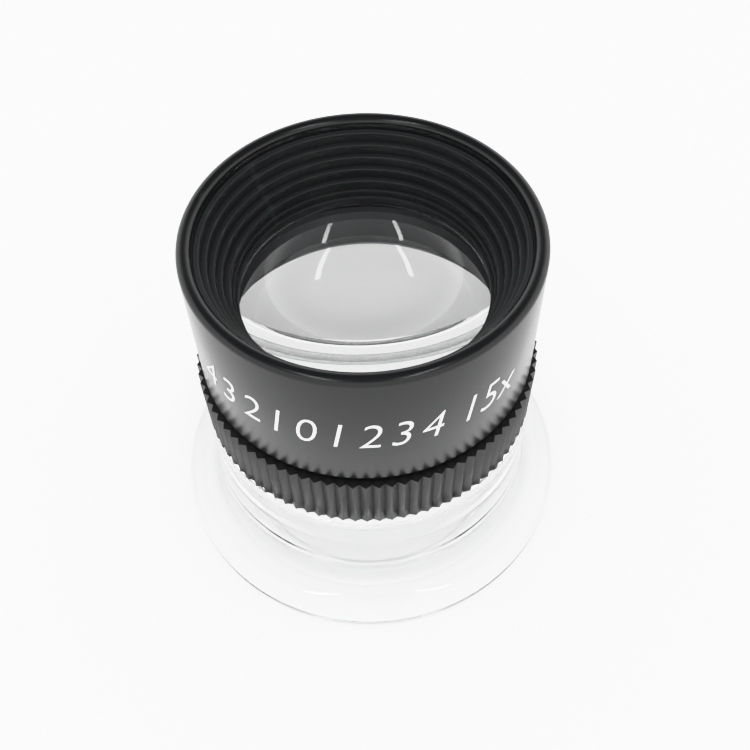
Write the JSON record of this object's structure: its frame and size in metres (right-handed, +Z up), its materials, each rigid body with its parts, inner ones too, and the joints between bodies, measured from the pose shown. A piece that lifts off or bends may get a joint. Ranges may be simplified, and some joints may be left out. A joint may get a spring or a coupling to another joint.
{
  "type": "viewing loupe",
  "caption": "Focusing loupe for film and prints: black eyepiece with a stepped eye cup and cemented lenses, knurled lock ring, and a clear bell-shaped stand.",
  "frame": {"origin": "middle of the foot, on the surface that the loupe stands on", "axes": "+Z up along the optical axis, towards the eye; -Y is the side that carries the marking"},
  "size_m": [0.0366, 0.0366, 0.0318],
  "materials": {
    "clear_acrylic": "clear, polished",
    "black_anodised": "black anodised, satin",
    "matte_black": "matt black, non-reflecting",
    "crown_glass": "polished, clear",
    "flint_glass": "polished, coated",
    "white_marking": "white paint in an engraved mark"
  },
  "bodies": {
    "skirt": {"clear_skirt": "clear_acrylic"},
    "lock": {"lock_ring": "black_anodised"},
    "lens_stack": {"upper_flint_lens": "flint_glass", "upper_crown_lens": "crown_glass", "lens_spacer": "matte_black", "lower_crown_lens": "crown_glass", "lower_flint_lens": "flint_glass"},
    "eyepiece": {"eyepiece_barrel": "black_anodised", "stepped_baffle": "matte_black", "lower_retaining_ring": "black_anodised"}
  },
  "joints": [
    {"name": "lock_turn", "type": "hinge", "parent": "skirt", "child": "lock", "pos_m": [0, 0, 0.0159], "axis": [0, 0, 1], "range_deg": [0, 90]},
    {"name": "focus_lift", "type": "slide", "parent": "skirt", "child": "lens_stack", "axis": [0, 0, 1], "range_m": [-0.0005, 0.0005]},
    {"name": "focus_turn", "type": "hinge", "parent": "lens_stack", "child": "eyepiece", "pos_m": [0, 0, 0.0195], "axis": [0, 0, 1], "range_deg": [-360, 360]}
  ],
  "couplings": [
    {"joint": "focus_turn", "follows": "focus_lift", "rad_per_m": 12566}
  ]
}
